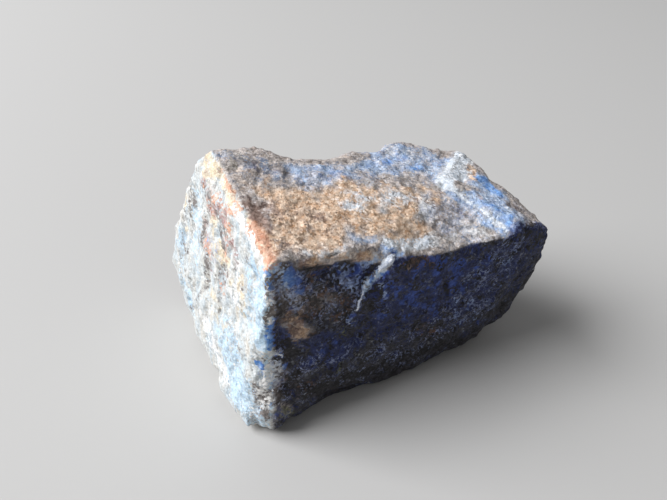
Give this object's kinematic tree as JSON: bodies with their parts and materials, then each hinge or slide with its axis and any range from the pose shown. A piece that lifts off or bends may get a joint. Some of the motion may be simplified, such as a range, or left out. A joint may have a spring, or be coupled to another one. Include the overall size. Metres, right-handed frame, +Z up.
{
  "type": "rough lapis lazuli",
  "caption": "Uncut broken piece of lapis lazuli rock with a flat underside, a pale weathered end and an undercut tip.",
  "frame": {"origin": "middle of the footprint, on the surface the stone lies on", "axes": "+Z up; +X along the stone, from the pale weathered end to the undercut tip; -Y out of the long dark blue face"},
  "size_m": [0.0496, 0.0372, 0.0342],
  "materials": {
    "rough_lapis": "broken granular lapis lazuli, dull: dark blue lazurite, white and grey calcite, a tan sugary patch and a pale weathered end"
  },
  "bodies": {
    "root": {"lapis_lazuli_stone": "rough_lapis"}
  },
  "joints": []
}
